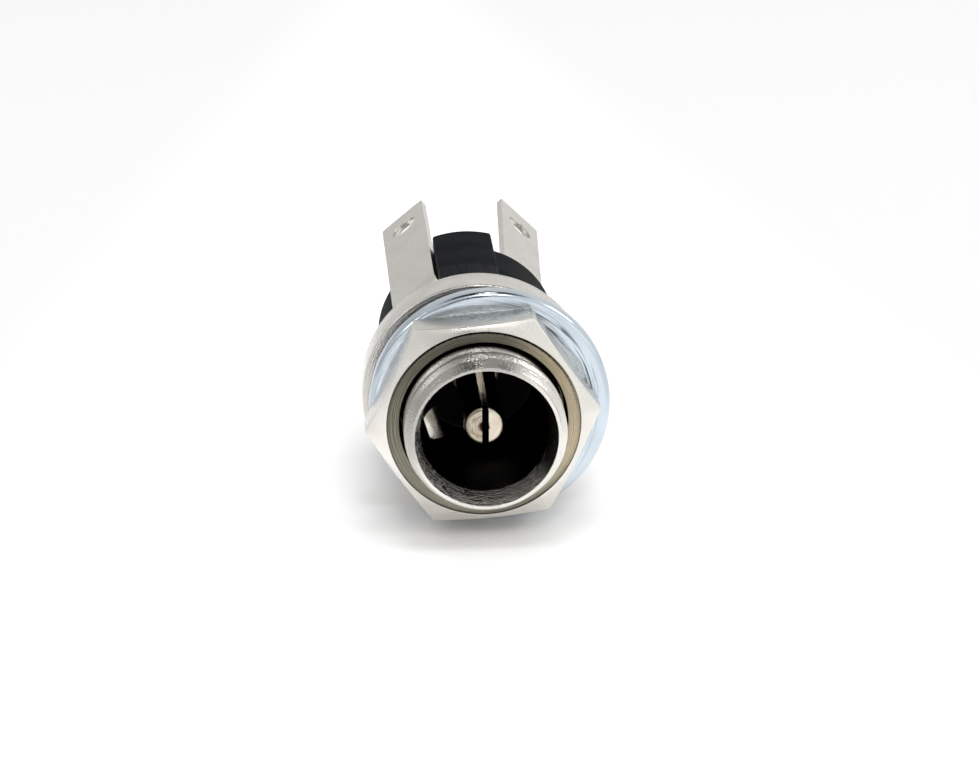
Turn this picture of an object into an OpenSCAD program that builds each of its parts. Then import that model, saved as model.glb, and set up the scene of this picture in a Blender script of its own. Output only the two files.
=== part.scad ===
// Panel-mount barrel jack for a 5.5 mm plug with a 2 mm centre pin.
// The jack's axis runs along Y: the plug goes in at -Y and the solder lugs point to +Y.
// The origin is the centre of the flange's front face, which seats on the back of the panel.

/* [Threaded shell] */
// Outer diameter of the thread
thread_d = 7.9; // [7.6:0.1:8.4]
// Length of the nose from the seat face to the lip of the mouth
nose_length = 6.15; // [5:0.05:9]
// Length of the bevel at the front of the thread
nose_bevel = 0.55; // [0.3:0.05:0.8]
// Width of the flat lip around the mouth
lip_width = 0.16; // [0.1:0.02:0.3]
// Diameter of the mouth at the lip
mouth_d = 6.94; // [6.6:0.02:7.1]
// Depth of the tapered mouth, down to the liner
mouth_depth = 1.3; // [0.8:0.1:2]
// Diameter of the flange
flange_d = 11.5; // [10:0.1:14]
// Thickness of the flange
flange_thickness = 1.9; // [1.2:0.1:3]
// Break on the edges of the flange
flange_break = 0.12; // [0.05:0.01:0.25]
// Diameter of the recess in the back of the flange
recess_d = 8.3; // [7.8:0.1:8.8]
// Depth of the recess in the back of the flange
recess_depth = 1.2; // [0.6:0.1:1.6]

/* [Front insulator] */
// Diameter of the socket that the plug's barrel slides into
socket_d = 6.3; // [6:0.05:6.4]
// Wall of the liner tube
liner_wall = 0.27; // [0.2:0.01:0.35]
// Depth of the socket from the lip to its floor
socket_depth = 9.5; // [9:0.1:11]
// Diameter of both insulator blocks
block_d = 9.2; // [8.9:0.1:10]
// Length of the front block behind the flange
front_block_length = 3.2; // [2.6:0.1:5]

/* [Rear insulator] */
// Length of the rear block behind the sleeve contact
rear_block_length = 4; // [3:0.1:6]
// Width of the ridge that keeps the lugs apart
ridge_width = 3; // [2:0.1:3.2]
// Height of the ridge above the block
ridge_height = 0.55; // [0.3:0.05:1]
// Turn of the ridge from the top towards the left
ridge_turn = 2; // [0:0.5:4]
// How far the ridge runs on behind the block
ridge_overhang = 0.9; // [0.5:0.1:1.5]
// Clearance hole around the pin's shank in the insulators
shank_clearance = 0.03; // [0.02:0.01:0.06]

/* [Centre pin] */
// Diameter of the pin's contact length
pin_d = 2; // [1.9:0.05:2.1]
// How far the pin's tip lies inside the lip
pin_setback = 1.75; // [1:0.05:3]
// Rounding at the pin's tip
pin_tip_round = 0.3; // [0.15:0.05:0.4]
// Width of the slot that splits the pin
slot_width = 0.33; // [0.2:0.01:0.5]
// Length of the slot
slot_length = 5.6; // [3:0.1:6.5]
// Diameter of the dimple in the pin's end
dimple_d = 0.5; // [0.3:0.05:0.8]
// Diameter of the collar that stands on the socket's floor
collar_d = 2.4; // [2.3:0.1:3.4]
// Thickness of the collar
collar_thickness = 0.3; // [0.2:0.1:1]
// Diameter of the shank through the insulators
shank_d = 1.6; // [1.3:0.1:1.8]
// Diameter of the riveted head
rivet_d = 2.6; // [2.2:0.1:3]
// Height of the riveted head
rivet_height = 0.5; // [0.3:0.05:0.8]

/* [Solder lugs] */
// Thickness of the contact strip
strip_thickness = 0.35; // [0.25:0.01:0.5]
// Width of each lug
lug_width = 2.75; // [2:0.05:2.9]
// Distance of the sleeve contact's lug from the axis, to its outer face
left_lug_radius = 4.57; // [4.5:0.01:4.9]
// Distance of the pin terminal's lug from the axis, to its outer face at the bend
right_lug_radius = 4.3; // [4:0.01:4.9]
// Angle of the sleeve contact's lug from the top of the jack
left_lug_angle = 39.5; // [38:0.5:60]
// Angle of the pin terminal's lug from the top of the jack
right_lug_angle = 44.5; // [43:0.5:60]
// Lean of the pin terminal's lug away from the axis
right_lug_lean = 4; // [0:0.5:8]
// Gap between a lug and the insulator around it
lug_gap = 0.1; // [0.05:0.01:0.3]
// Distance from the seat face to the lugs' ends
lug_reach = 18.3; // [15.5:0.1:22]
// Distance from a lug's end to its hole
hole_setback = 2; // [1.2:0.1:3]
// Diameter of the solder hole
hole_d = 1.5; // [1:0.05:1.7]
// Outer radius of the bend at the foot of a lug
bend_radius = 1; // [0.7:0.05:1.1]
// Corner radius at the end of a lug
lug_corner = 0.2; // [0.1:0.05:0.6]
// Diameter of the ring of the sleeve contact
ring_d = 7.1; // [6.9:0.1:8]
// Diameter of the hole in the ring of the sleeve contact
ring_hole_d = 4; // [3.6:0.1:4.6]
// Diameter of the eye of the pin terminal
eye_d = 4.4; // [3.6:0.1:5]

/* [Spring leaf] */
// Clock angle of the leaf, counted from the right towards the top
leaf_angle = 197; // [190:1:240]
// Width of the leaf
leaf_width = 1.6; // [1.4:0.05:2]
// Thickness of the leaf
leaf_thickness = 0.25; // [0.2:0.01:0.3]
// Gap between the leaf's edges and the shell's bore
leaf_edge_gap = 0.05; // [0.03:0.01:0.1]
// How far the bow stands in from the leaf's straight part
leaf_bow = 0.95; // [0.4:0.05:1.1]
// Length over which the bow would run out to the leaf's straight part again
leaf_bow_length = 2.6; // [2.4:0.1:4]
// Distance from the seat face forward to the start of the bow
leaf_bow_start = 0; // [-0.6:0.1:0.3]
// Distance from the seat face forward to the leaf's tip
leaf_tip_reach = 2.3; // [2.2:0.1:2.8]
// Clearance around the leaf in its slot
leaf_clearance = 0.12; // [0.08:0.01:0.2]

/* [Nut and washer] */
// Width of the nut across its flats
nut_width = 10; // [9.6:0.1:12]
// Thickness of the nut
nut_thickness = 2; // [1.6:0.1:3]
// Distance from the seat face forward to the nut's back
nut_standoff = 2.07; // [1.2:0.01:2.4]
// Turn of the nut on the thread
nut_turn = 4.4; // [0:0.1:59]
// Angle of the bevel on the nut's front corners
nut_bevel_angle = 27; // [15:1:35]
// Diameter of the flat face inside the nut's bevel
nut_face_d = 9.48; // [9.2:0.02:9.6]
// Diameter of the countersink at the nut's front
countersink_d = 9.2; // [8.8:0.1:9.3]
// Depth of the countersink
countersink_depth = 0.22; // [0.1:0.02:0.4]
// Clearance between the nut's hole and the thread
nut_clearance = 0.08; // [0.05:0.01:0.12]
// Diameter of the washer
washer_d = 11.85; // [10.5:0.05:14]
// Thickness of the washer
washer_thickness = 0.8; // [0.5:0.05:1.1]
// Rounding of the washer's front edge
washer_round = 0.3; // [0.1:0.05:0.4]
// Clearance between the washer's hole and the thread
washer_clearance = 0.48; // [0.2:0.01:0.6]
// Clock angle towards which the loose washer has slipped
washer_slip_angle = 17; // [0:1:359]
// How far the loose washer has slipped
washer_slip = 0.46; // [0:0.01:0.5]

/* [Hidden] */
$fn = 96;
eps = 0.05;                  // how far a cutter runs past the face that it opens
press_gap = 0.02;            // gap on each side of a part that is pressed in

lip_y = -nose_length;
liner_front_y = lip_y + mouth_depth;
socket_r = socket_d / 2;
liner_r = socket_r + liner_wall;
shell_bore_r = liner_r + press_gap;
recess_front_y = flange_thickness - recess_depth;
front_block_back_y = flange_thickness + front_block_length;
rear_block_front_y = front_block_back_y + strip_thickness;
rear_block_back_y = rear_block_front_y + rear_block_length;
terminal_back_y = rear_block_back_y + strip_thickness;
ridge_end_y = rear_block_back_y + ridge_overhang;
socket_floor_y = lip_y + socket_depth;
pin_tip_y = lip_y + pin_setback;
shank_hole_r = shank_d / 2 + shank_clearance;
boss_r = ring_hole_d / 2 - press_gap;
left_lug_clock = 90 + left_lug_angle;
right_lug_clock = 90 - right_lug_angle;
foot_root_r = ring_d / 2 - 1;                // where the sleeve contact's foot leaves its ring
foot_room = lug_width + 2 * lug_gap;
leaf_edge_r = shell_bore_r - leaf_edge_gap;
leaf_outside = sqrt(leaf_edge_r * leaf_edge_r - leaf_width * leaf_width / 4);
leaf_inside = leaf_outside - leaf_thickness;
slot_half = leaf_width / 2 + leaf_clearance;
nut_bore_r = thread_d / 2 + nut_clearance;
nut_front_y = -nut_standoff - nut_thickness;
washer_back_y = -nut_standoff + washer_thickness;

// Turns what is drawn about Z so that it runs along the jack's axis, Z to +Y.
module on_axis() {
    rotate([-90, 0, 0]) children();
}

// Turns what points along +X about the jack's axis, counted from the right towards the top.
module at_clock(angle) {
    rotate([0, -angle, 0]) children();
}

// A turned solid. Its outline is a list of [radius, distance along the axis].
module turned(outline) {
    on_axis() rotate_extrude() polygon(outline);
}

// A straight round bar or hole between two places on the axis.
module bar(radius, from_y, to_y) {
    translate([0, from_y, 0]) on_axis() cylinder(r = radius, h = to_y - from_y);
}

// A strip of metal: its outline is drawn with X out from the axis and Y along it, and it is
// as wide as stated, centred on the clock angle.
module strip(angle, width) {
    at_clock(angle) translate([0, 0, -width / 2]) linear_extrude(width) children();
}

module threaded_shell() {
    lip_r = mouth_d / 2 + lip_width;
    thread_r = thread_d / 2;
    flange_r = flange_d / 2;
    color("silver") turned([
        [mouth_d / 2, lip_y],
        [lip_r, lip_y],
        [thread_r, lip_y + nose_bevel],
        [thread_r, 0],
        [flange_r - flange_break, 0],
        [flange_r, flange_break],
        [flange_r, flange_thickness - flange_break],
        [flange_r - flange_break, flange_thickness],
        [recess_d / 2, flange_thickness],
        [recess_d / 2, recess_front_y],
        [shell_bore_r, recess_front_y],
        [shell_bore_r, liner_front_y],
        [socket_r, liner_front_y]
    ]);
}

module leaf_slot() {
    slot_front = -leaf_tip_reach - leaf_clearance;
    slot_inside = leaf_inside - leaf_clearance;
    strip(leaf_angle, 2 * slot_half)
        translate([slot_inside, slot_front])
        square([liner_r + eps - slot_inside, front_block_back_y + eps - slot_front]);
}

module front_insulator() {
    color("black") difference() {
        union() {
            turned([
                [socket_r, liner_front_y],
                [liner_r, liner_front_y],
                [liner_r, recess_front_y],
                [recess_d / 2 - press_gap, recess_front_y],
                [recess_d / 2 - press_gap, flange_thickness],
                [block_d / 2, flange_thickness],
                [block_d / 2, front_block_back_y],
                [shank_hole_r, front_block_back_y],
                [shank_hole_r, socket_floor_y],
                [socket_r, socket_floor_y]
            ]);
            ridge(flange_thickness, front_block_back_y);
        }
        leaf_slot();
    }
}

// The part of the ridge that lies between two places on the axis.
module ridge(from_y, to_y) {
    ridge_r = block_d / 2 + ridge_height;
    root_z = (socket_r + block_d / 2) / 2;
    intersection() {
        bar(ridge_r, from_y, to_y);
        rotate([0, -ridge_turn, 0]) translate([-ridge_width / 2, from_y, root_z])
            cube([ridge_width, to_y - from_y, ridge_r]);
    }
}

// The recess in the front of the rear block that takes the sleeve contact's ring.
module ring_recess() {
    cut_front_y = front_block_back_y - eps;
    difference() {
        bar(ring_d / 2 + press_gap, cut_front_y, rear_block_front_y);
        bar(boss_r, cut_front_y - eps, rear_block_front_y + eps);
    }
}

// The room in the side of the rear block for the sleeve contact's foot, bend and lug.
module lug_groove() {
    front = front_block_back_y - eps;
    back = ridge_end_y + eps;
    lug_inside = left_lug_radius - strip_thickness;
    outside = left_lug_radius + 1;
    foot_back = rear_block_front_y + press_gap;
    bend_back = front_block_back_y + bend_radius + lug_gap;
    strip(left_lug_clock, foot_room) polygon([
        [foot_root_r, front],
        [foot_root_r, foot_back],
        [left_lug_radius - bend_radius - lug_gap, foot_back],
        [lug_inside - lug_gap, bend_back],
        [lug_inside - lug_gap, back],
        [outside, back],
        [outside, front]
    ]);
}

module rear_insulator() {
    color([0.1, 0.1, 0.12]) difference() {
        union() {
            bar(block_d / 2, front_block_back_y, rear_block_back_y);
            ridge(front_block_back_y, ridge_end_y);
        }
        bar(shank_hole_r, front_block_back_y - eps, rear_block_back_y + eps);
        ring_recess();
        lug_groove();
    }
}

module centre_pin() {
    pin_r = pin_d / 2;
    collar_front = socket_floor_y - collar_thickness;
    rivet_edge = rivet_height / 3;
    color("gainsboro") difference() {
        turned([
            [0, pin_tip_y],
            [pin_r - pin_tip_round, pin_tip_y],
            [pin_r - pin_tip_round * 0.3, pin_tip_y + pin_tip_round * 0.3],
            [pin_r, pin_tip_y + pin_tip_round],
            [pin_r, collar_front],
            [collar_d / 2, collar_front],
            [collar_d / 2, socket_floor_y],
            [shank_d / 2, socket_floor_y],
            [shank_d / 2, terminal_back_y],
            [rivet_d / 2, terminal_back_y],
            [rivet_d / 2, terminal_back_y + rivet_edge],
            [rivet_d / 4, terminal_back_y + rivet_height],
            [0, terminal_back_y + rivet_height]
        ]);
        translate([-slot_width / 2, pin_tip_y - eps, -pin_d])
            cube([slot_width, slot_length + eps, 2 * pin_d]);
        turned([
            [0, pin_tip_y - eps],
            [dimple_d / 2, pin_tip_y - eps],
            [dimple_d / 2, pin_tip_y],
            [0, pin_tip_y + dimple_d / 2]
        ]);
    }
}

// A radial foot that bends into a lug with its solder hole. The lug's outer face stands at the
// radius behind the bend, and the lug leans out from there.
module lug(angle, radius, lean, foot_from_r, foot_y) {
    inside = radius - strip_thickness;
    difference() {
        strip(angle, lug_width) lug_profile(radius, lean, foot_from_r, foot_y);
        at_clock(angle) leaning(radius, lean, foot_y) {
            lug_end_trim(inside);
            translate([inside - eps, lug_reach - hole_setback, 0])
                rotate([0, 90, 0]) cylinder(d = hole_d, h = strip_thickness + 2 * eps);
        }
    }
}

// Turns a lug's straight part about the centre of its bend.
module leaning(radius, lean, foot_y) {
    centre_r = radius - bend_radius;
    centre_y = foot_y + bend_radius;
    translate([centre_r, centre_y]) rotate(-lean) translate([-centre_r, -centre_y]) children();
}

module lug_profile(radius, lean, foot_from_r, foot_y) {
    centre_r = radius - bend_radius;
    centre_y = foot_y + bend_radius;
    translate([foot_from_r, foot_y]) square([centre_r - foot_from_r, strip_thickness]);
    leaning(radius, lean, foot_y) translate([radius - strip_thickness, centre_y])
        square([strip_thickness, lug_reach - centre_y]);
    intersection() {
        translate([centre_r, centre_y]) difference() {
            circle(bend_radius);
            circle(bend_radius - strip_thickness);
        }
        translate([centre_r, foot_y]) square(bend_radius);
        leaning(radius, lean, foot_y) translate([centre_r - bend_radius, foot_y])
            square([2 * bend_radius, bend_radius]);
    }
}

module lug_end_trim(inside) {
    for (side = [-1, 1])
        translate([inside - eps, lug_reach - lug_corner, side * (lug_width / 2 - lug_corner)])
            rotate([0, 90, 0])
            difference() {
                translate([side > 0 ? -lug_corner - eps : 0, 0, 0])
                    cube([lug_corner + eps, lug_corner + eps, strip_thickness + 2 * eps]);
                translate([0, 0, -eps]) cylinder(r = lug_corner, h = strip_thickness + 4 * eps);
            }
}

// The leaf's outline: a straight shank from the ring, then a bow that stands into the socket.
module leaf_profile() {
    half = leaf_bow_length / 2;
    bow_r = (half * half + leaf_bow * leaf_bow) / (2 * leaf_bow);
    bow_centre = leaf_inside - leaf_bow + bow_r;
    translate([leaf_inside, -leaf_bow_start])
        square([leaf_thickness, rear_block_front_y + leaf_bow_start]);
    intersection() {
        translate([bow_centre, -leaf_bow_start - half]) difference() {
            circle(bow_r);
            circle(bow_r - leaf_thickness);
        }
        translate([leaf_inside - leaf_bow - eps, -leaf_tip_reach])
            square([leaf_bow + leaf_thickness + eps, leaf_tip_reach - leaf_bow_start + eps]);
    }
}

module sleeve_contact() {
    color("lightgray") union() {
        difference() {
            bar(ring_d / 2, front_block_back_y, rear_block_front_y);
            bar(ring_hole_d / 2, front_block_back_y - eps, rear_block_front_y + eps);
        }
        lug(left_lug_clock, left_lug_radius, 0, foot_root_r, front_block_back_y);
        strip(leaf_angle, leaf_width) leaf_profile();
    }
}

module pin_terminal() {
    eye_front = rear_block_back_y;
    color("lightgray") difference() {
        union() {
            bar(eye_d / 2, eye_front, terminal_back_y);
            lug(right_lug_clock, right_lug_radius, right_lug_lean, 0, eye_front);
        }
        bar(shank_hole_r, eye_front - eps, terminal_back_y + eps);
    }
}

module hex_nut() {
    corner_r = nut_width / sqrt(3);
    bevel_r = corner_r + eps;
    bevel_depth = (bevel_r - nut_face_d / 2) * tan(nut_bevel_angle);
    color("silver") difference() {
        intersection() {
            at_clock(nut_turn) translate([0, nut_front_y, 0])
                on_axis() cylinder(r = corner_r, h = nut_thickness, $fn = 6);
            turned([
                [0, nut_front_y],
                [nut_face_d / 2, nut_front_y],
                [bevel_r, nut_front_y + bevel_depth],
                [bevel_r, eps - nut_standoff],
                [0, eps - nut_standoff]
            ]);
        }
        turned([
            [0, nut_front_y - eps],
            [countersink_d / 2, nut_front_y - eps],
            [countersink_d / 2, nut_front_y],
            [nut_bore_r, nut_front_y + countersink_depth],
            [nut_bore_r, eps - nut_standoff],
            [0, eps - nut_standoff]
        ]);
    }
}

module flat_washer() {
    outer_r = washer_d / 2;
    bore_r = thread_d / 2 + washer_clearance;
    color([0.8, 0.84, 0.88]) at_clock(washer_slip_angle) translate([washer_slip, 0, 0]) turned([
        [bore_r, -nut_standoff],
        [outer_r - washer_round, -nut_standoff],
        [outer_r - washer_round * 0.3, -nut_standoff + washer_round * 0.3],
        [outer_r, -nut_standoff + washer_round],
        [outer_r, washer_back_y],
        [bore_r, washer_back_y]
    ]);
}

threaded_shell();
front_insulator();
rear_insulator();
centre_pin();
sleeve_contact();
pin_terminal();
hex_nut();
flat_washer();
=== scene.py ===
import bmesh
import bpy
import math
from mathutils import Matrix, Vector


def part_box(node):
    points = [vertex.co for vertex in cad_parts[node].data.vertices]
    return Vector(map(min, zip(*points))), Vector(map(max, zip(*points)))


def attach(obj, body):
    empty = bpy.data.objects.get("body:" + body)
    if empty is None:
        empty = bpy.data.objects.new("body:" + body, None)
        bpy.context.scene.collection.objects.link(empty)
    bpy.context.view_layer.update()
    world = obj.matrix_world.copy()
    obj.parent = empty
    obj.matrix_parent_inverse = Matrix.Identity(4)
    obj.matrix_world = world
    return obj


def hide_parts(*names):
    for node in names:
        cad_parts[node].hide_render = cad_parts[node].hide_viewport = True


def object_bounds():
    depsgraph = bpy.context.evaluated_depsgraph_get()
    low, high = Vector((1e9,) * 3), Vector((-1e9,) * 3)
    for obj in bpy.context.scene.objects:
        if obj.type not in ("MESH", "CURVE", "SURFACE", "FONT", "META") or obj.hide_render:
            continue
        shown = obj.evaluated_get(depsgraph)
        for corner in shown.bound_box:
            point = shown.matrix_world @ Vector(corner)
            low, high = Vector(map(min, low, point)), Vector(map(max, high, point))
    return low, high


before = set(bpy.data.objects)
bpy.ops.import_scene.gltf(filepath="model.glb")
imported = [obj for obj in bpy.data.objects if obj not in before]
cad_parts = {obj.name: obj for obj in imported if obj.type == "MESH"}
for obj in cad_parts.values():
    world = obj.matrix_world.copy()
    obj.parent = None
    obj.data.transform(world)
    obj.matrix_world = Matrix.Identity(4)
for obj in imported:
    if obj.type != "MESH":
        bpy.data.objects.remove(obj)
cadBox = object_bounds()
mm = 0.001
tau = 2 * math.pi


# The low and high corners of a CAD node, in millimetres.
def span(node):
    low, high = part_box(node)
    return low / mm, high / mm


shellLow, shellHigh = span("threaded_shell")
liningLow, liningHigh = span("front_insulator")
nutLow, nutHigh = span("hex_nut")
washerLow, washerHigh = span("flat_washer")
blockHigh = span("rear_insulator")[1]
lipY = shellLow.y
flangeBackY = shellHigh.y
liningFrontY = liningLow.y
frontBlockBackY = liningHigh.y
ridgeEndY = blockHigh.y
rearBlockBackY = span("pin_terminal")[0].y
pinTipY = span("centre_pin")[0].y
leafTipY = span("sleeve_contact")[0].y
blockRadius = (liningHigh.x - liningLow.x) / 2
print("frame loaded: the jack is %.2f mm long" % ((cadBox[1].y - cadBox[0].y) / mm))


# Replaces each corner that carries a radius, as (across, along, radius), by an arc.
def rounded(corners, steps=4):
    outline = []
    for i, corner in enumerate(corners):
        here = Vector(corner[:2])
        if len(corner) < 3:
            outline.append(here)
            continue
        before = Vector(corners[i - 1][:2]) - here
        after = Vector(corners[(i + 1) % len(corners)][:2]) - here
        half = before.angle(after) / 2
        reach = min(corner[2] / math.tan(half), before.length * 0.49, after.length * 0.49)
        start = here + before.normalized() * reach
        end = here + after.normalized() * reach
        centre = here + (before.normalized() + after.normalized()).normalized() * reach / math.cos(half)
        radius = (start - centre).length
        sweep = (start - centre).angle(end - centre)
        for k in range(steps + 1):
            share = k / steps
            arm = ((start - centre) * math.sin((1 - share) * sweep)
                   + (end - centre) * math.sin(share * sweep))
            outline.append(centre + arm.normalized() * radius)
    return outline


def newPiece(name, bm):
    bmesh.ops.remove_doubles(bm, verts=bm.verts, dist=1e-8)
    bmesh.ops.recalc_face_normals(bm, faces=bm.faces)
    mesh = bpy.data.meshes.new(name)
    bm.to_mesh(mesh)
    bm.free()
    piece = bpy.data.objects.new(name, mesh)
    bpy.context.scene.collection.objects.link(piece)
    return piece


# A solid turned about the jack's axis. outlineAt(angle) gives its closed outline there.
def turned(name, outlineAt, angles):
    bm = bmesh.new()
    rings = []
    for angle in angles:
        across = Vector((math.cos(angle), 0, math.sin(angle)))
        rings.append([bm.verts.new((across * r + Vector((0, y, 0))) * mm) for r, y in outlineAt(angle)])
    count = len(rings[0])
    for ring, following in zip(rings, rings[1:] + rings[:1]):
        for i in range(count):
            j = (i + 1) % count
            bm.faces.new((ring[i], ring[j], following[j], following[i]))
    return newPiece(name, bm)


def evenAngles(sides):
    return [tau * i / sides for i in range(sides)]


def turnedPlain(name, corners, sides):
    outline = rounded(corners)
    return turned(name, lambda angle: outline, evenAngles(sides))


# A flat outline pushed through a thickness, then set by a matrix.
def pushed(name, outline, low, high, place):
    bm = bmesh.new()
    near = [bm.verts.new(place @ Vector((p[0], p[1], low)) * mm) for p in outline]
    far = [bm.verts.new(place @ Vector((p[0], p[1], high)) * mm) for p in outline]
    bm.faces.new(near)
    bm.faces.new(far)
    for i in range(len(outline)):
        j = (i + 1) % len(outline)
        bm.faces.new((near[i], near[j], far[j], far[i]))
    return newPiece(name, bm)


# Out from the axis, along the axis and across the strip, at a clock angle.
def clockPlace(degrees):
    c, s = math.cos(math.radians(degrees)), math.sin(math.radians(degrees))
    return Matrix(((c, 0, -s), (0, 1, 0), (s, 0, c)))


# Along the axis, across the strip and out from the axis: for what is cut through a strip's face.
def facePlace(degrees):
    c, s = math.cos(math.radians(degrees)), math.sin(math.radians(degrees))
    return Matrix(((0, -s, c), (1, 0, 0), (0, c, s)))


# The jack's own section: across, up and along the axis.
sectionPlace = Matrix(((1, 0, 0), (0, 0, 1), (0, 1, 0)))


def circlePoints(radius, centre=(0, 0), sides=64):
    return [(centre[0] + radius * math.cos(tau * i / sides), centre[1] + radius * math.sin(tau * i / sides))
            for i in range(sides)]


def withModifiers(piece):
    graph = bpy.context.evaluated_depsgraph_get()
    mesh = bpy.data.meshes.new_from_object(piece.evaluated_get(graph))
    piece.modifiers.clear()
    spent = piece.data
    piece.data = mesh
    bpy.data.meshes.remove(spent)
    mesh.name = piece.name
    return piece


def combined(piece, tool, operation):
    modifier = piece.modifiers.new("cut", "BOOLEAN")
    modifier.operation = operation
    modifier.solver = "EXACT"
    modifier.object = tool
    withModifiers(piece)
    bpy.data.objects.remove(tool)
    return piece


def softEdges(piece, width, segments=2, degrees=35):
    modifier = piece.modifiers.new("edges", "BEVEL")
    modifier.width = width * mm
    modifier.segments = segments
    modifier.limit_method = "ANGLE"
    modifier.angle_limit = math.radians(degrees)
    modifier.use_clamp_overlap = True
    return withModifiers(piece)


def finished(piece, node, material, degrees=40):
    piece.data.materials.clear()
    piece.data.materials.append(material)
    piece.data.shade_smooth()
    piece.data.set_sharp_from_angle(angle=math.radians(degrees))
    modifier = piece.modifiers.new("normals", "WEIGHTED_NORMAL")
    modifier.keep_sharp = True
    withModifiers(piece)
    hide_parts(node)
    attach(piece, "root")
    print("made", piece.name, len(piece.data.polygons), "faces")
    return piece


# Adds a node. Inputs come in order, or by name in one dictionary. A node given as an input stands
# for its first output.
def addNode(tree, kind, *inputs, **settings):
    node = tree.nodes.new(kind)
    for name, value in settings.items():
        setattr(node, name, value)
    shown = [socket for socket in node.inputs if socket.enabled]
    named = bool(inputs) and isinstance(inputs[0], dict)
    for key, value in (inputs[0].items() if named else enumerate(inputs)):
        socket = node.inputs[key] if named else shown[key]
        if isinstance(value, bpy.types.Node):
            value = next(output for output in value.outputs if output.enabled)
        if isinstance(value, bpy.types.NodeSocket):
            tree.links.new(value, socket)
        else:
            socket.default_value = value
    return node


def linear(hexText):
    values = [int(hexText[i:i + 2], 16) / 255 for i in (1, 3, 5)]
    return tuple(v / 12.92 if v <= 0.04045 else ((v + 0.055) / 1.055) ** 2.4 for v in values) + (1.0,)


# A new material, its tree and the piece's own coordinates.
def newMaterial(name):
    material = bpy.data.materials.new(name)
    material.use_nodes = True
    tree = material.node_tree
    tree.nodes.clear()
    return material, tree, addNode(tree, "ShaderNodeTexCoord").outputs["Object"]


# Angle round the axis, distance out from it and place along it in millimetres, and all three as a
# vector. The angle is 0 at the top and grows to the right, with its seam underneath.
def roundTheAxis(tree, place):
    xyz = addNode(tree, "ShaderNodeSeparateXYZ", place).outputs
    across = addNode(tree, "ShaderNodeCombineXYZ", xyz[0], 0.0, xyz[2])
    reach = addNode(tree, "ShaderNodeVectorMath", across, operation="LENGTH")
    radius = addNode(tree, "ShaderNodeMath", reach, 1 / mm, operation="MULTIPLY")
    angle = addNode(tree, "ShaderNodeMath", xyz[0], xyz[2], operation="ARCTAN2")
    along = addNode(tree, "ShaderNodeMath", xyz[1], 1 / mm, operation="MULTIPLY")
    return addNode(tree, "ShaderNodeCombineXYZ", angle, radius, along), angle, radius, along


# Marks drawn out along a vector's axes: the larger the stretch, the finer they lie on that axis.
def toolMarks(tree, vector, stretch, detail, roughness):
    drawn = addNode(tree, "ShaderNodeVectorMath", vector, stretch, operation="MULTIPLY")
    return addNode(tree, "ShaderNodeTexNoise", drawn, 1.0, detail, roughness)


# A mask that is 1 past all of its soft edges. Each edge is (value, where it starts, where it is full),
# and may end with its least and most.
def zone(tree, *edges):
    mask = 1.0
    for edge in edges:
        soft = addNode(tree, "ShaderNodeMapRange", *edge, interpolation_type="SMOOTHSTEP")
        mask = addNode(tree, "ShaderNodeMath", mask, soft, operation="MULTIPLY")
    return mask


# A mask for one side of a round piece: 1 nearer to the middle angle than near, least beyond far.
# What is ragged draws the edge outwards.
def oneSide(tree, angle, middle, far, near, least=0.0, ragged=0.0):
    turned = addNode(tree, "ShaderNodeMath", angle, middle, operation="SUBTRACT")
    off = addNode(tree, "ShaderNodeMath", turned, operation="ABSOLUTE")
    pulled = addNode(tree, "ShaderNodeMath", off, ragged, operation="SUBTRACT")
    return addNode(tree, "ShaderNodeMapRange", pulled, far, near, least, 1.0,
                   interpolation_type="SMOOTHSTEP")


# Lays colours over a first one. Each layer is (mask, colour), and a colour may be hex text.
def layered(tree, colour, *layers):
    under = linear(colour) if isinstance(colour, str) else colour
    for mask, over in layers:
        over = linear(over) if isinstance(over, str) else over
        under = addNode(tree, "ShaderNodeMix", mask, under, over, data_type="RGBA")
    return under


# Stacks relief. Each layer is (height, depth in millimetres, strength).
def relief(tree, *layers):
    normal = {}
    for height, depth, strength in layers:
        inputs = {"Height": height, "Distance": depth * mm, "Strength": strength}
        normal = {"Normal": addNode(tree, "ShaderNodeBump", inputs | normal)}
    return normal["Normal"]


def shaded(tree, inputs):
    shader = addNode(tree, "ShaderNodeBsdfPrincipled", inputs)
    addNode(tree, "ShaderNodeOutputMaterial", shader)


bush = {
    "threadRadius": 3.95, "threadPitch": 1.0, "threadDepth": 0.3, "threadRunOut": 0.9,
    "lipRadius": 3.47, "lipWidth": 0.16, "bevelLength": 0.55, "boreRadius": 3.44,
    "edgeRound": 0.1, "recessRadius": 4.15, "recessDepth": 1.2, "sides": 320,
}


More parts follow.
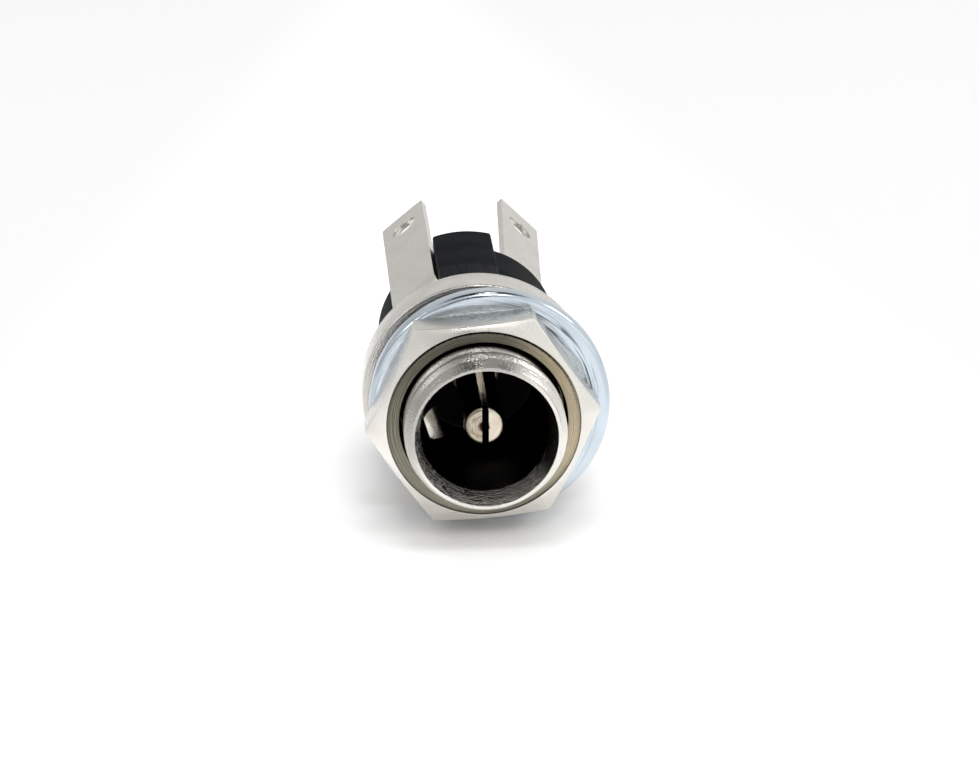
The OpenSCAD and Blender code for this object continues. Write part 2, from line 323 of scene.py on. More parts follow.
# Turns a single-start thread into the outside of a turned solid: the wall is drawn in to the root
# along a right-handed helix, and the groove runs out before the flange.
def threadTree():
    tree = bpy.data.node_groups.new("cutThread", "GeometryNodeTree")
    face = tree.interface
    face.new_socket("Geometry", in_out="INPUT", socket_type="NodeSocketGeometry")
    for name in ("Pitch", "Crest Radius", "Depth", "Back", "Run Out"):
        face.new_socket(name, in_out="INPUT", socket_type="NodeSocketFloat")
    face.new_socket("Finish", in_out="INPUT", socket_type="NodeSocketMaterial")
    face.new_socket("Geometry", in_out="OUTPUT", socket_type="NodeSocketGeometry")
    given = addNode(tree, "NodeGroupInput").outputs
    place = addNode(tree, "GeometryNodeInputPosition")
    x, y, z = addNode(tree, "ShaderNodeSeparateXYZ", place).outputs
    across = addNode(tree, "ShaderNodeCombineXYZ", x, 0.0, z)
    radius = addNode(tree, "ShaderNodeVectorMath", across, operation="LENGTH")

    angle = addNode(tree, "ShaderNodeMath", z, x, operation="ARCTAN2")
    turn = addNode(tree, "ShaderNodeMath", angle, tau, operation="DIVIDE")
    pitches = addNode(tree, "ShaderNodeMath", y, given["Pitch"], operation="DIVIDE")
    total = addNode(tree, "ShaderNodeMath", pitches, turn, operation="ADD")
    phase = addNode(tree, "ShaderNodeMath", total, operation="FRACT")
    centred = addNode(tree, "ShaderNodeMath", phase, 0.5, operation="SUBTRACT")
    folded = addNode(tree, "ShaderNodeMath", centred, operation="ABSOLUTE")
    wave = addNode(tree, "ShaderNodeMath", folded, 2.0, operation="MULTIPLY")

    runOutFrom = addNode(tree, "ShaderNodeMath", given["Back"], given["Run Out"], operation="SUBTRACT")
    groove = zone(tree, (wave, 0.1, 0.9), (y, given["Back"], runOutFrom))
    sink = addNode(tree, "ShaderNodeMath", groove, given["Depth"], operation="MULTIPLY")
    cutWall = addNode(tree, "ShaderNodeMath", given["Crest Radius"], sink, operation="SUBTRACT")
    wall = addNode(tree, "ShaderNodeMath", radius, cutWall, operation="MINIMUM")
    share = addNode(tree, "ShaderNodeMath", wall, radius, operation="DIVIDE")
    drawnIn = addNode(tree, "ShaderNodeCombineXYZ", share, 1.0, share)
    moved = addNode(tree, "ShaderNodeVectorMath", place, drawnIn, operation="MULTIPLY")
    chosen = addNode(tree, "ShaderNodeMath", y, given["Back"], operation="LESS_THAN")
    cut = addNode(tree, "GeometryNodeSetPosition",
                  {"Geometry": given["Geometry"], "Selection": chosen, "Position": moved})
    real = addNode(tree, "GeometryNodeRealizeInstances", {"Geometry": cut})
    dressed = addNode(tree, "GeometryNodeSetMaterial", {"Geometry": real, "Material": given["Finish"]})
    addNode(tree, "NodeGroupOutput", dressed)
    return tree


def withThread(piece, values, material):
    modifier = piece.modifiers.new("thread", "NODES")
    modifier.node_group = threadTree()
    for item in modifier.node_group.interface.items_tree:
        if item.in_out == "INPUT" and item.name in values:
            modifier[item.identifier] = values[item.name]
        if item.in_out == "INPUT" and item.name == "Finish":
            modifier[item.identifier] = material
    return withModifiers(piece)


# Turned brass under dull nickel: fine rings from the tool, a gritty plated skin that sparkles, and
# a mouth that was opened with a coarse tool and glitters. Painted shade darkens the mouth, most on its
# right side, the upper left of the nose and the thread inside the nut. The real grit is a few
# hundredths of a millimetre, and is drawn coarser so that it shows.
def turnedNickelBush():
    material, tree, place = newMaterial("turnedNickelPlatedBrass")
    polar, angle, radius, along = roundTheAxis(tree, place)
    bore = bush["boreRadius"]
    rings = toolMarks(tree, polar, (2.0, 9.0, 9.0), 3.0, 0.6)
    grit = addNode(tree, "ShaderNodeTexNoise", place, 1 / (0.09 * mm), 2.0, 0.6)
    coarse = addNode(tree, "ShaderNodeTexNoise", place, 1 / (0.12 * mm), 1.0, 0.7)
    tone = addNode(tree, "ShaderNodeTexNoise", place, 1 / (1.1 * mm), 2.0)
    inMouth = zone(tree, (radius, bore + 0.06, bore), (along, lipY + 1.6, lipY + 1.2))
    onNose = zone(tree, (along, 0.2, -0.2), (radius, bore - 0.04, bore + 0.06))
    # Painted shade, near black, on the thread inside the nut.
    underNut = zone(tree, (along, nutLow.y + 0.08, nutLow.y + 0.25), (along, 0.0, -0.1))
    paintedShade = addNode(tree, "ShaderNodeMath", underNut, 0.97, operation="MULTIPLY")
    # Painted shade on the upper left of the nose.
    leftShade = oneSide(tree, angle, -0.7, 1.6, 0.9)
    noseShade = addNode(tree, "ShaderNodeMath", onNose, leftShade, operation="MULTIPLY")
    # Painted shade: the mouth is darker, and darkest on its right side.
    mouthShade = layered(tree, "#b5b2ad", (oneSide(tree, angle, 1.45, 1.0, 0.5), "#34322f"))
    colour = layered(tree, "#ebe8e3", (tone, "#d3cec6"), (inMouth, mouthShade), (noseShade, "#b4b1ac"),
                     (paintedShade, "#0c0b0a"))
    satin = addNode(tree, "ShaderNodeMapRange", tone, 0.3, 0.7, 0.2, 0.3, interpolation_type="SMOOTHSTEP")
    rough = addNode(tree, "ShaderNodeMath", inMouth, -0.08, satin, operation="MULTIPLY_ADD")
    torn = addNode(tree, "ShaderNodeMath", onNose, 0.15, inMouth, operation="MULTIPLY_ADD")
    normal = relief(tree, (grit, 0.02, 0.55), (rings, 0.03, 0.5), (coarse, 0.16, torn))
    shaded(tree, {"Base Color": colour, "Metallic": 1.0, "Roughness": rough, "Normal": normal})
    return material


def makeShell():
    b = bush
    stations = 16
    noseY = lipY + b["bevelLength"]
    outer = b["lipRadius"] + b["lipWidth"]
    bevelSteps = 8
    corners = [(b["boreRadius"], liningFrontY), (lining["socketRadius"], liningFrontY, 0.02),
               (b["lipRadius"], lipY, 0.04), (outer, lipY, 0.05)]
    for i in range(1, bevelSteps):
        share = i / bevelSteps
        corners.append((outer + (b["threadRadius"] - outer) * share, lipY + b["bevelLength"] * share))
    steps = math.ceil(-noseY / b["threadPitch"] * stations)
    for i in range(steps):
        corners.append((b["threadRadius"], noseY * (1 - i / steps)))
    flangeRadius = (shellHigh.x - shellLow.x) / 2
    recessFrontY = flangeBackY - b["recessDepth"]
    corners += [(b["threadRadius"], 0), (flangeRadius, 0, b["edgeRound"]),
                (flangeRadius, flangeBackY, b["edgeRound"]), (b["recessRadius"], flangeBackY, 0.05),
                (b["recessRadius"], recessFrontY), (b["boreRadius"], recessFrontY)]
    piece = turnedPlain("threadedShell", corners, b["sides"])
    values = {"Pitch": b["threadPitch"] * mm, "Crest Radius": b["threadRadius"] * mm,
              "Depth": b["threadDepth"] * mm, "Back": -0.02 * mm, "Run Out": b["threadRunOut"] * mm}
    withThread(piece, values, bushNickel)
    return finished(piece, "threaded_shell", bushNickel, 50)


lining = {
    "socketRadius": 3.15, "floorY": 3.35, "lipRound": 0.03, "rimRound": 0.12, "shankHole": 0.83,
    "slotWidth": 1.84, "slotInside": 2.92, "slotFrontY": -2.42, "sides": 240,
}
block = {
    "ridgeWidth": 3.0, "ridgeRoot": 3.875, "ridgeTurn": 2.0, "ridgeRound": 0.14, "rimRound": 0.14,
    "bossRadius": 1.98, "ringRoom": 3.57, "ringDepth": 0.35, "footRoom": 2.95, "lugGap": 0.1,
    "sides": 240,
}


# Moulded black phenolic, polished where the core pin of the mould made the socket: glossy, with
# faint drag lines along it.
def glossyBlackMoulding():
    material, tree, place = newMaterial("glossyBlackPhenolic")
    polar, angle, radius, along = roundTheAxis(tree, place)
    drag = toolMarks(tree, polar, (14.0, 1.0, 0.4), 2.0, 0.5)
    grain = addNode(tree, "ShaderNodeTexNoise", place, 1 / (0.15 * mm), 3.0)
    outside = zone(tree, (radius, 4.2, 4.5))
    colour = layered(tree, "#020203", (outside, "#07090d"))
    gloss = addNode(tree, "ShaderNodeMapRange", drag, 0.3, 0.7, 0.16, 0.26, interpolation_type="SMOOTHSTEP")
    rough = addNode(tree, "ShaderNodeMath", outside, 0.32, gloss, operation="MULTIPLY_ADD")
    grained = addNode(tree, "ShaderNodeMath", outside, 0.5, operation="MULTIPLY")
    normal = relief(tree, (drag, 0.02, 0.3), (grain, 0.02, grained))
    shaded(tree, {"Base Color": colour, "Metallic": 0.0, "IOR": 1.5, "Specular IOR Level": 0.05,
                  "Roughness": rough, "Normal": normal})
    return material


# The same black phenolic from a spark-eroded mould: matte and slightly blue.
def matteBlackMoulding():
    material, tree, place = newMaterial("matteBlackPhenolic")
    grain = addNode(tree, "ShaderNodeTexNoise", place, 1 / (0.14 * mm), 3.0)
    tone = addNode(tree, "ShaderNodeTexNoise", place, 1 / (2.5 * mm), 2.0)
    colour = layered(tree, "#07090d", (tone, "#0b0e13"))
    rough = addNode(tree, "ShaderNodeMapRange", tone, 0.3, 0.7, 0.55, 0.65, interpolation_type="SMOOTHSTEP")
    normal = relief(tree, (grain, 0.02, 0.45))
    shaded(tree, {"Base Color": colour, "Metallic": 0.0, "IOR": 1.5, "Specular IOR Level": 0.04,
                  "Roughness": rough, "Normal": normal})
    return material


# The part of the ridge between two places on the axis.
def makeRidge(fromY, toY):
    b = block
    half, root, radius = b["ridgeWidth"] / 2, b["ridgeRoot"], blockHigh.z
    edge = math.acos(half / radius)
    arc = [(radius * math.cos(a), radius * math.sin(a), b["ridgeRound"] if i in (0, 16) else 0.0)
           for i, a in enumerate([edge + (math.pi - 2 * edge) * i / 16 for i in range(17)])]
    outline = rounded([(-half, root), (half, root)] + arc[:1] + [p[:2] for p in arc[1:-1]] + arc[-1:])
    place = Matrix.Rotation(-math.radians(b["ridgeTurn"]), 3, "Y") @ sectionPlace
    return pushed("ridgeTool", outline, fromY, toY, place)


def makeLining():
    b = lining
    recessFrontY = flangeBackY - bush["recessDepth"]
    wall = bush["boreRadius"] - 0.02
    plug = bush["recessRadius"] - 0.02
    corners = [(b["socketRadius"], liningFrontY, b["lipRound"]), (wall, liningFrontY, b["lipRound"]),
               (wall, recessFrontY), (plug, recessFrontY), (plug, flangeBackY),
               (blockRadius, flangeBackY, b["rimRound"]), (blockRadius, frontBlockBackY, 0.04),
               (b["shankHole"], frontBlockBackY), (b["shankHole"], b["floorY"]),
               (b["socketRadius"], b["floorY"], 0.15)]
    piece = turnedPlain("frontInsulator", corners, b["sides"])
    combined(piece, makeRidge(flangeBackY, frontBlockBackY), "UNION")
    slot = [(b["slotInside"], b["slotFrontY"]), (wall + 0.05, b["slotFrontY"]),
            (wall + 0.05, frontBlockBackY + 1), (b["slotInside"], frontBlockBackY + 1)]
    tool = pushed("slotTool", slot, -b["slotWidth"] / 2, b["slotWidth"] / 2, clockPlace(leaf["clock"]))
    combined(piece, tool, "DIFFERENCE")
    return finished(piece, "front_insulator", glossyBlack)


def makeBlock():
    b = block
    ringBackY = frontBlockBackY + b["ringDepth"]
    corners = [(lining["shankHole"], frontBlockBackY), (b["bossRadius"], frontBlockBackY),
               (b["bossRadius"], ringBackY), (b["ringRoom"], ringBackY), (b["ringRoom"], frontBlockBackY),
               (blockRadius, frontBlockBackY, 0.04), (blockRadius, rearBlockBackY, b["rimRound"]),
               (lining["shankHole"], rearBlockBackY, 0.05)]
    piece = turnedPlain("rearInsulator", corners, b["sides"])
    combined(piece, makeRidge(frontBlockBackY, ridgeEndY), "UNION")
    root, side = strip["ringRadius"] - 1, strip["leftRadius"] - strip["thickness"] - b["lugGap"]
    bendFrom = strip["leftRadius"] - strip["bendOutside"] - b["lugGap"]
    groove = [(root, frontBlockBackY - 0.5), (root, ringBackY + 0.02), (bendFrom, ringBackY + 0.02),
              (side, frontBlockBackY + strip["bendOutside"] + b["lugGap"]), (side, ridgeEndY + 1),
              (6, ridgeEndY + 1), (6, frontBlockBackY - 0.5)]
    half = b["footRoom"] / 2
    tool = pushed("grooveTool", groove, -half, half, clockPlace(strip["leftClock"]))
    combined(piece, tool, "DIFFERENCE")
    return finished(piece, "rear_insulator", matteBlack)


contactPin = {
    "radius": 1.0, "tipRound": 0.26, "slotWidth": 0.33, "slotLength": 5.6, "slotShift": 0.05,
    "dimpleRadius": 0.25, "collarRadius": 1.2, "collarThickness": 0.3, "shankRadius": 0.8,
    "rivetRadius": 1.3, "rivetHeight": 0.5, "edgeRound": 0.03, "sides": 160,
}


# Turned brass pin in bright nickel, with a little brass tint, facing marks on its end and a
# brown stain in the dimple. Painted shade darkens its left half in the pattern of the facing marks.
def brightNickelPin():
    material, tree, place = newMaterial("brightNickelPlatedPin")
    polar, angle, radius, along = roundTheAxis(tree, place)
    facing = toolMarks(tree, polar, (1.2, 16.0, 4.0), 3.0, 0.6)
    speck = addNode(tree, "ShaderNodeTexNoise", place, 1 / (0.22 * mm), 3.0, 0.7)
    tone = addNode(tree, "ShaderNodeTexNoise", place, 1 / (0.6 * mm), 2.0)
    # Painted shade on the left half, laid in the pattern of the facing marks.
    leftShade = zone(tree, (angle, 0.2, -0.5), (facing, 0.4, 0.6, 0.35, 1.0))
    stain = zone(tree, (radius, 0.36, 0.22), (along, pinTipY + 0.5, pinTipY + 0.3), (speck, 0.42, 0.6))
    colour = layered(tree, "#e0dacf", (tone, "#b9ac95"), (leftShade, "#8d8272"), (stain, "#6b3a2c"))
    bright = addNode(tree, "ShaderNodeMapRange", facing, 0.3, 0.7, 0.13, 0.22,
                     interpolation_type="SMOOTHSTEP")
    rough = addNode(tree, "ShaderNodeMath", stain, 0.3, bright, operation="MULTIPLY_ADD")
    normal = relief(tree, (facing, 0.03, 0.45))
    shaded(tree, {"Base Color": colour, "Metallic": 1.0, "Roughness": rough, "Normal": normal})
    return material


def makePin():
    b = contactPin
    tipY, floorY, headY = pinTipY, lining["floorY"], rearBlockBackY + strip["thickness"]
    collarY = floorY - b["collarThickness"]
    corners = [(0, tipY + b["dimpleRadius"] * 0.9), (b["dimpleRadius"], tipY, 0.03),
               (b["radius"], tipY, b["tipRound"]), (b["radius"], collarY, 0.02),
               (b["collarRadius"], collarY, 0.05), (b["collarRadius"], floorY),
               (b["shankRadius"], floorY), (b["shankRadius"], headY), (b["rivetRadius"], headY, 0.05),
               (b["rivetRadius"], headY + b["rivetHeight"] * 0.5, 0.2),
               (b["rivetRadius"] * 0.5, headY + b["rivetHeight"], 0.3), (0, headY + b["rivetHeight"])]
    piece = turnedPlain("centrePin", corners, b["sides"])
    left, right = b["slotShift"] - b["slotWidth"] / 2, b["slotShift"] + b["slotWidth"] / 2
    slot = [(left, -2), (right, -2), (right, 2), (left, 2)]
    tool = pushed("slotTool", slot, tipY - 1, tipY + b["slotLength"], sectionPlace)
    combined(piece, tool, "DIFFERENCE")
    softEdges(piece, b["edgeRound"], 2, 50)
    return finished(piece, "centre_pin", pinNickel)


strip = {
    "thickness": 0.35, "width": 2.75, "bendOutside": 1.0, "bendInside": 0.65, "endY": 18.3,
    "leftClock": 129.5, "leftRadius": 4.57, "rightClock": 45.5, "rightRadius": 4.3, "rightLean": 4.0,
    "endCorner": 0.2, "holeRadius": 0.75, "holeSetback": 2.0, "edgeRound": 0.05,
    "ringRadius": 3.55, "ringHole": 2.0, "eyeRadius": 2.2, "eyeHole": 0.83,
}
leaf = {
    "clock": 197.0, "width": 1.6, "thickness": 0.25, "inside": 3.044, "bow": 0.95,
    "bowFrom": 0.5, "peakBack": 0.42, "tipDrop": 0.72, "peakRound": 0.25, "tipCorner": 0.4,
}


# Rolled brass strip, nickel plated after stamping: satin, with faint lines along the rolling.
def rolledNickelStrip():
    material, tree, place = newMaterial("rolledNickelPlatedStrip")
    lines = toolMarks(tree, place, (1 / (0.12 * mm), 1 / (1.6 * mm), 1 / (0.12 * mm)), 3.0, 0.6)
    grit = addNode(tree, "ShaderNodeTexNoise", place, 1 / (0.08 * mm), 2.0)
    tone = addNode(tree, "ShaderNodeTexNoise", place, 1 / (1.8 * mm), 2.0)
    colour = layered(tree, "#e2dfd9", (tone, "#d0ccc3"))
    rough = addNode(tree, "ShaderNodeMapRange", lines, 0.3, 0.7, 0.26, 0.36,
                    interpolation_type="SMOOTHSTEP")
    normal = relief(tree, (grit, 0.008, 0.4), (lines, 0.012, 0.35))
    shaded(tree, {"Base Color": colour, "Metallic": 1.0, "Roughness": rough, "Normal": normal})
    return material


# A flat ring, a radial foot, a bend and a straight lug, which leans out about the centre of the bend.
def makeLug(name, clock, outside, lean, ringRadius, ringHole, footY):
    b = strip
    inside, endY = outside - b["thickness"], b["endY"]
    tilt = Matrix.Rotation(-math.radians(lean), 2)
    centre = Vector((outside - b["bendOutside"], footY + b["bendOutside"]))
    straight = [tilt @ (Vector(p) - centre) + centre
                for p in ((outside, centre.y), (outside, endY), (inside, endY), (inside, centre.y))]

    def bend(radius, steps=8):
        start, end = -math.pi / 2, -math.radians(lean)
        return [centre + radius * Vector((math.cos(a), math.sin(a)))
                for a in [start + (end - start) * i / steps for i in range(steps)]]

    profile = ([Vector((-5, footY))] + bend(b["bendOutside"]) + straight
               + bend(b["bendInside"])[::-1] + [Vector((-5, footY + b["thickness"]))])
    half = b["width"] / 2
    piece = pushed(name, profile, -5, 5, clockPlace(clock))
    c, s = math.cos(math.radians(clock)), math.sin(math.radians(clock))
    planPlace = Matrix(((c, -s, 0), (0, 0, 1), (s, c, 0)))
    neck = math.asin(half / ringRadius)
    keyhole = [(ringRadius * math.cos(a), ringRadius * math.sin(a))
               for a in [neck + (tau - 2 * neck) * i / 120 for i in range(121)]] + [(9, -half), (9, half)]
    combined(piece, pushed("planTool", keyhole, footY - 1, b["endY"] + 3, planPlace), "INTERSECT")
    ringCut = circlePoints(ringHole, sides=96)
    combined(piece, pushed("ringTool", ringCut, footY - 1, footY + 1, planPlace), "DIFFERENCE")
    side = half + 0.005
    plan = rounded([(footY - 1, -6), (endY - 1, -6), (endY - 1, -side), (endY, -side, b["endCorner"]),
                    (endY, side, b["endCorner"]), (endY - 1, side), (endY - 1, 6), (footY - 1, 6)], 8)
    hole = circlePoints(b["holeRadius"], (endY - b["holeSetback"], 0))
    pivot = clockPlace(clock) @ Vector((centre.x, centre.y, 0)) * mm
    across = clockPlace(clock) @ Vector((0, 0, 1))
    turn = (Matrix.Translation(pivot) @ Matrix.Rotation(-math.radians(lean), 4, across)
            @ Matrix.Translation(-pivot))
    cuts = ((plan, -6, 8, "INTERSECT"), (hole, inside - 1, outside + 1, "DIFFERENCE"))
    for outline, low, high, operation in cuts:
        tool = pushed("lugCutter", outline, low, high, facePlace(clock))
        tool.data.transform(turn)
        combined(piece, tool, operation)
    return piece


# The leaf's outline seen from its edge: a straight shank, a slope into the socket and a steep nose.
def leafOutline():
    b = leaf
    tipY, wall, shankY = leafTipY, b["inside"] + b["thickness"], frontBlockBackY + 0.1
    peak, peakY = b["inside"] - b["bow"], tipY + b["peakBack"]
    tip = peak + b["tipDrop"]
    return rounded([(wall, shankY), (b["inside"], shankY), (b["inside"], b["bowFrom"], 1.5),
                    (peak, peakY, b["peakRound"]), (tip, tipY), (tip + 0.12, tipY + 0.22),
                    (peak + 0.35, peakY + 0.18, 0.1), (wall, b["bowFrom"] - 0.2, 1.5)], 8)


def makeSleeveContact():
    b = strip
    piece = makeLug("sleeveContact", b["leftClock"], b["leftRadius"], 0, b["ringRadius"], b["ringHole"],
                    frontBlockBackY)
    half = leaf["width"] / 2
    tongue = pushed("leafTool", leafOutline(), -half, half, clockPlace(leaf["clock"]))
    tipY = leafTipY
    plan = rounded([(tipY, -half, leaf["tipCorner"]), (tipY, half, leaf["tipCorner"]),
                    (frontBlockBackY + 1, half), (frontBlockBackY + 1, -half)], 10)
    combined(tongue, pushed("planTool", plan, 0, 8, facePlace(leaf["clock"])), "INTERSECT")
    combined(piece, tongue, "UNION")
    softEdges(piece, b["edgeRound"], 2)
    return finished(piece, "sleeve_contact", stripNickel)


def makePinTerminal():
    b = strip
    piece = makeLug("pinTerminal", b["rightClock"], b["rightRadius"], b["rightLean"], b["eyeRadius"],
                    b["eyeHole"], rearBlockBackY)
    softEdges(piece, b["edgeRound"], 2)
    return finished(piece, "pin_terminal", stripNickel)


nut = {
    "turn": 4.4, "flatRadius": 5.0, "cornerRound": 0.1, "bevelDegrees": 27.0, "faceRadius": 4.74,
    "stepDepth": 0.13, "ringRadius": 4.12, "ringSlope": 0.1, "holeRadius": 4.03, "edgeRound": 0.07,
    "sides": 360,
}


# Nickel on a turned nut: satin faces with a fine grain. The ring inside the step rubs on the
# thread's dirt and shows the brass through the plating on one side. Painted shade darkens the top of the
# step's crack and the bore inside the ring.
def satinNickelNut():
    material, tree, place = newMaterial("satinNickelPlatedBrass")
    polar, angle, radius, along = roundTheAxis(tree, place)
    face, ring, frontY = nut["faceRadius"], nut["ringRadius"], nutLow.y
    rings = toolMarks(tree, polar, (1.5, 14.0, 3.0), 3.0, 0.6)
    grit = addNode(tree, "ShaderNodeTexNoise", place, 1 / (0.07 * mm), 2.0, 0.65)
    tone = addNode(tree, "ShaderNodeTexNoise", place, 1 / (1.4 * mm), 2.0)
    halfTone = addNode(tree, "ShaderNodeMath", tone, 0.5, operation="MULTIPLY")
    inRing = zone(tree, (radius, face + 0.02, face - 0.03), (along, frontY + 0.6, frontY + 0.5))
    # Painted shade, near black, in the bore inside the ring.
    inHole = zone(tree, (radius, ring + 0.04, ring - 0.02))
    brassSide = oneSide(tree, angle, 1.45, 1.1, 0.1, 0.0, halfTone)

    # Painted shade, near black, along the top of the step.
    jag = toolMarks(tree, polar, (44.0, 0.0, 0.0), 3.0, 0.8)
    past = addNode(tree, "ShaderNodeMath", radius, face - 0.09, operation="SUBTRACT")
    fromStep = addNode(tree, "ShaderNodeMath", past, operation="ABSOLUTE")
    jagged = addNode(tree, "ShaderNodeMath", jag, 0.3, fromStep, operation="MULTIPLY_ADD")
    onTop = oneSide(tree, angle, 0.0, 1.9, 0.5, 0.15)
    upper = addNode(tree, "ShaderNodeMath", onTop, zone(tree, (jagged, 0.24, 0.18)), operation="MULTIPLY")
    stepShade = addNode(tree, "ShaderNodeMath", upper, inRing, operation="MULTIPLY")
    paintedShade = addNode(tree, "ShaderNodeMath", stepShade, inHole, operation="MAXIMUM")

    nickel = layered(tree, "#eae7e2", (tone, "#d6d2ca"))
    dull = layered(tree, "#77756a", (rings, "#a5a293"))
    brass = layered(tree, "#b3a68c", (grit, "#d2c7ad"))
    colour = layered(tree, nickel, (inRing, layered(tree, dull, (brassSide, brass))), (paintedShade, "#0d0d0c"))
    satin = addNode(tree, "ShaderNodeMapRange", tone, 0.3, 0.7, 0.24, 0.34, interpolation_type="SMOOTHSTEP")
    rough = addNode(tree, "ShaderNodeMath", inRing, 0.06, satin, operation="MULTIPLY_ADD")
    turned = addNode(tree, "ShaderNodeMath", inRing, 0.8, operation="MULTIPLY")
    normal = relief(tree, (grit, 0.018, 0.6), (rings, 0.05, turned))
    shaded(tree, {"Base Color": colour, "Metallic": 1.0, "Roughness": rough, "Normal": normal})
    return material


# Distance from the axis to the nut's side, with its six corners rounded.
def hexSide(angle):
    b = nut
    sixth = tau / 6
    offset = (angle - math.radians(b["turn"]) + sixth / 2) % sixth - sixth / 2
    fromCorner = abs(offset)
    side = b["flatRadius"] / math.cos(sixth / 2 - fromCorner)
    centre = (b["flatRadius"] - b["cornerRound"]) / math.cos(sixth / 2)
    under = b["cornerRound"] ** 2 - (centre * math.sin(fromCorner)) ** 2
    if under <= 0:
        return side
    return min(side, centre * math.cos(fromCorner) + math.sqrt(under))


def makeNut():
    b = nut
    frontY, backY = nutLow.y, nutHigh.y
    hole, face, stepY = b["holeRadius"], b["faceRadius"], frontY + b["stepDepth"]
    slope = math.tan(math.radians(b["bevelDegrees"]))

    def outlineAt(angle):
        side = hexSide(angle)
        shoulder = frontY + (side - face) * slope
        return rounded([(hole, frontY + 0.42), (b["ringRadius"], stepY + b["ringSlope"], 0.04),
                        (face - 0.02, stepY, 0.03), (face, frontY, 0.02), (side, shoulder, b["edgeRound"]),
                        (side, backY, 0.06), (hole + 0.2, backY, 0.03), (hole, backY - 0.2)])

    corners = [math.radians(b["turn"]) + tau / 6 * k for k in range(6)]
    fine = [corner + math.radians(0.18 * i) for corner in corners for i in range(-9, 10)]
    angles = sorted(a % tau for a in evenAngles(b["sides"]) + fine)
    kept = [a for a, following in zip(angles, angles[1:] + [angles[0] + tau]) if following - a > 1e-4]
    piece = turned("hexNut", outlineAt, kept)
    return finished(piece, "hex_nut", nutNickel, 50)


washer = {
    "holeRadius": 4.43, "frontRound": 0.3, "backRound": 0.06, "sides": 320,
}


# Stamped steel in bright blue zinc: almost a mirror, faintly blue, with rub marks round the hole
# where the nut turned on it, and painted shade in dark streaks on the rounded rim at the upper right.
def brightZinc():
    material, tree, place = newMaterial("brightBlueZincPlatedSteel")
    polar, angle, radius, along = roundTheAxis(tree, place)
    rub = toolMarks(tree, polar, (3.0, 22.0, 6.0), 4.0, 0.6)
    streak = toolMarks(tree, polar, (1.6, 9.0, 1.0), 3.0, 0.7)
    swell = addNode(tree, "ShaderNodeTexNoise", place, 1 / (2.2 * mm), 1.0)
    grit = addNode(tree, "ShaderNodeTexNoise", place, 1 / (0.1 * mm), 2.0)
    # Painted shade: dark blue-grey streaks on the rounded rim at the upper right.
    streaks = zone(tree, (streak, 0.48, 0.6), (radius, 6.0, 5.6))
    upperRight = oneSide(tree, angle, 0.95, 0.8, 0.35, 0.3)
    shadedRimStreaks = addNode(tree, "ShaderNodeMath", streaks, upperRight, operation="MULTIPLY")
    paintedRimShade = addNode(tree, "ShaderNodeMath", shadedRimStreaks, 0.9, operation="MULTIPLY")
    colour = layered(tree, "#d6dee5", (swell, "#b8c4ce"), (paintedRimShade, "#434b53"))
    rough = addNode(tree, "ShaderNodeMapRange", rub, 0.35, 0.75, 0.07, 0.2, interpolation_type="SMOOTHSTEP")
    normal = relief(tree, (swell, 0.03, 0.35), (rub, 0.012, 0.4), (grit, 0.006, 0.3))
    shaded(tree, {"Base Color": colour, "Metallic": 1.0, "Roughness": rough, "Normal": normal})
    return material


def makeWasher():
    b = washer
    radius = (washerHigh.x - washerLow.x) / 2
    corners = [(b["holeRadius"], washerLow.y, 0.08), (radius, washerLow.y, b["frontRound"]),
               (radius, washerHigh.y, b["backRound"]), (b["holeRadius"], washerHigh.y, 0.03)]
    piece = turnedPlain("flatWasher", corners, b["sides"])
    middle = (washerLow + washerHigh) / 2
    piece.data.transform(Matrix.Translation(Vector((middle.x, 0, middle.z)) * mm))
    return finished(piece, "flat_washer", zinc, 50)


glossyBlack = glossyBlackMoulding()
matteBlack = matteBlackMoulding()
bushNickel = turnedNickelBush()
nutNickel = satinNickelNut()
zinc = brightZinc()
stripNickel = rolledNickelStrip()
pinNickel = brightNickelPin()
print("materials made")

makeShell()
makeLining()
makeBlock()
makePin()
makeSleeveContact()
makePinTerminal()
makeNut()
makeWasher()
print("pieces made")


studio = {
    "floorSize": 1.6, "floorMiddle": "#f6f6f6", "floorFalloffShade": "#dadadb", "room": 0.78, "ceiling": 0.05,
    "frontFill": 0.45, "sparkPower": 0.14, "sparkSize": 0.06, "frontPower": 0.36, "frontSize": 0.15,
    "keyPower": 2.5, "keySize": 0.5, "keyHeight": 0.6,
    "sidePower": 0.2, "sideSize": 0.12,
}
shot = {
    "azimuth": -3.77, "elevation": 20.38, "roll": -0.377, "distance": 184.06, "focal": 139.98,
    "target": (0.278, nutLow.y, 2.062),
}


# The direction from the jack to the camera.
def cameraBack():
    a, e = math.radians(shot["azimuth"]), math.radians(shot["elevation"])
    return Vector((math.sin(a) * math.cos(e), -math.cos(a) * math.cos(e), math.sin(e)))


def makeFloor():
    bm = bmesh.new()
    bmesh.ops.create_grid(bm, x_segments=1, y_segments=1, size=studio["floorSize"] / 2)
    floor = newPiece("floor", bm)
    floor.data.transform(Matrix.Translation((0, 0, cadBox[0].z)))
    material, tree, place = newMaterial("whiteTableTop")
    squeezed = addNode(tree, "ShaderNodeVectorMath", place, (1.0, 0.25, 0.0), operation="MULTIPLY")
    folded = addNode(tree, "ShaderNodeVectorMath", squeezed, operation="ABSOLUTE")
    off = addNode(tree, "ShaderNodeVectorMath", folded, (1.0, 1.0, 0.0), operation="DOT_PRODUCT")
    # The table is painted darker away from the jack: a painted falloff of the light towards its edges.
    edge = zone(tree, (off, 14 * mm, 34 * mm))
    colour = layered(tree, studio["floorMiddle"], (edge, studio["floorFalloffShade"]))
    shaded(tree, {"Base Color": colour, "Roughness": 0.6})
    floor.data.materials.append(material)


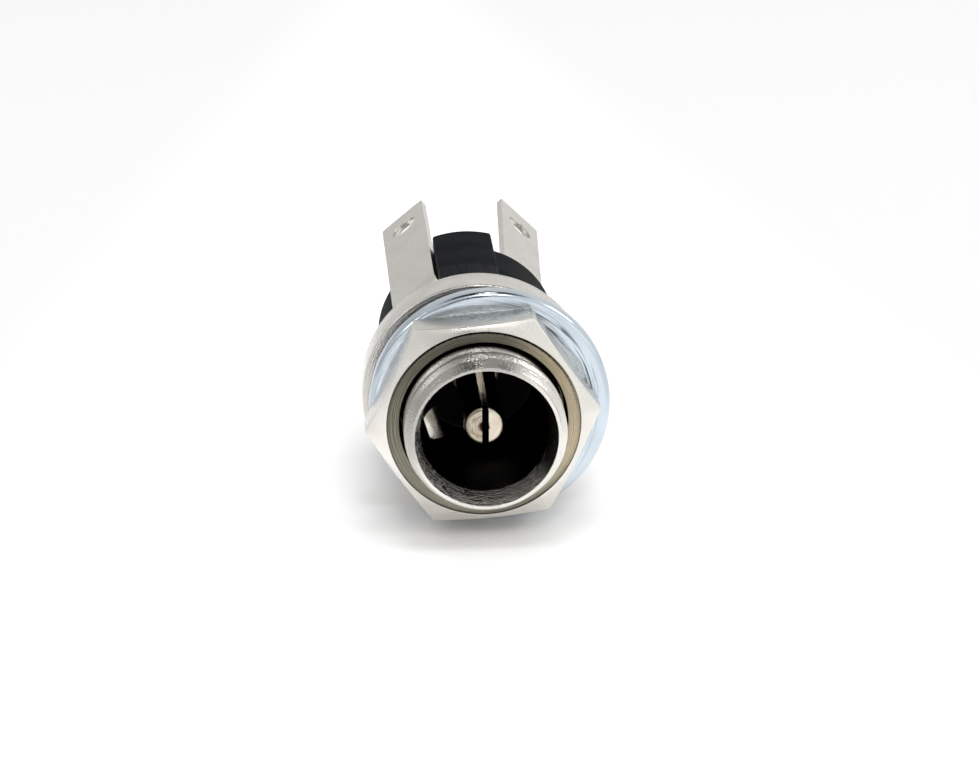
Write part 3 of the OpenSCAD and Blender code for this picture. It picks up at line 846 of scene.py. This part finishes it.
# A white tent, brighter on the right and low in front, with a dark opening right above the jack and
# another for the camera.
def makeRoom():
    world = bpy.data.worlds.new("room")
    bpy.context.scene.world = world
    world.use_nodes = True
    tree = world.node_tree
    tree.nodes.clear()
    smooth = {"interpolation_type": "SMOOTHSTEP"}
    place = addNode(tree, "ShaderNodeTexCoord").outputs["Generated"]
    x, y, z = addNode(tree, "ShaderNodeSeparateXYZ", place).outputs
    above = addNode(tree, "ShaderNodeMapRange", z, 0.82, 0.95, studio["room"], studio["ceiling"], **smooth)
    towards = addNode(tree, "ShaderNodeVectorMath", place, cameraBack(), operation="DOT_PRODUCT")
    opening = addNode(tree, "ShaderNodeMapRange", towards, 0.975, 0.988, 1.0, 0.06, **smooth)
    side = addNode(tree, "ShaderNodeMapRange", x, -0.9, 0.9, 0.86, 1.18, **smooth)
    back = addNode(tree, "ShaderNodeMapRange", y, 0.2, 0.9, 1.0, 0.93, **smooth)
    low = zone(tree, (z, 0.4, 0.1), (y, -0.1, -0.8))
    front = addNode(tree, "ShaderNodeMath", low, studio["frontFill"], back, operation="MULTIPLY_ADD")
    tent = addNode(tree, "ShaderNodeMath", above, opening, operation="MULTIPLY")
    sided = addNode(tree, "ShaderNodeMath", side, front, operation="MULTIPLY")
    light = addNode(tree, "ShaderNodeMath", tent, sided, operation="MULTIPLY")
    background = addNode(tree, "ShaderNodeBackground", {"Color": (1, 1, 1, 1), "Strength": light})
    addNode(tree, "ShaderNodeOutputWorld", background)


# A square lamp that faces the jack.
def addLamp(name, power, size, place, mirrored=True):
    lamp = bpy.data.lights.new(name, "AREA")
    lamp.energy = power
    lamp.size = size
    holder = bpy.data.objects.new(name, lamp)
    holder.visible_glossy = mirrored
    holder.location = place
    holder.rotation_euler = (-Vector(place)).to_track_quat("-Z", "Y").to_euler()
    bpy.context.scene.collection.objects.link(holder)


def makeCamera():
    back = cameraBack()
    camera = bpy.data.cameras.new("camera")
    camera.lens = shot["focal"]
    camera.sensor_width = 36
    camera.clip_start = 0.005
    camera.clip_end = 10
    holder = bpy.data.objects.new("camera", camera)
    holder.location = (Vector(shot["target"]) + back * shot["distance"]) * mm
    roll = Matrix.Rotation(math.radians(shot["roll"]), 3, "Z")
    look = (-back).to_track_quat("-Z", "Y").to_matrix() @ roll
    holder.rotation_euler = look.to_euler()
    bpy.context.scene.collection.objects.link(holder)
    bpy.context.scene.camera = holder


makeFloor()
makeRoom()
addLamp("overheadSoftbox", studio["keyPower"], studio["keySize"], (0, 0.05, studio["keyHeight"]), False)
addLamp("sparkLamp", studio["sparkPower"], studio["sparkSize"], (0.02, -0.03, 0.5))
addLamp("frontLamp", studio["frontPower"], studio["frontSize"], (0.04, -0.33, 0.4))
addLamp("leftLamp", studio["sidePower"] / 2, studio["sideSize"], (-0.3, -0.12, 0.24))
addLamp("rightLamp", studio["sidePower"], studio["sideSize"], (0.3, -0.06, 0.24))
makeCamera()
bpy.context.scene.view_settings.view_transform = "Standard"
print("stage, light and camera set")
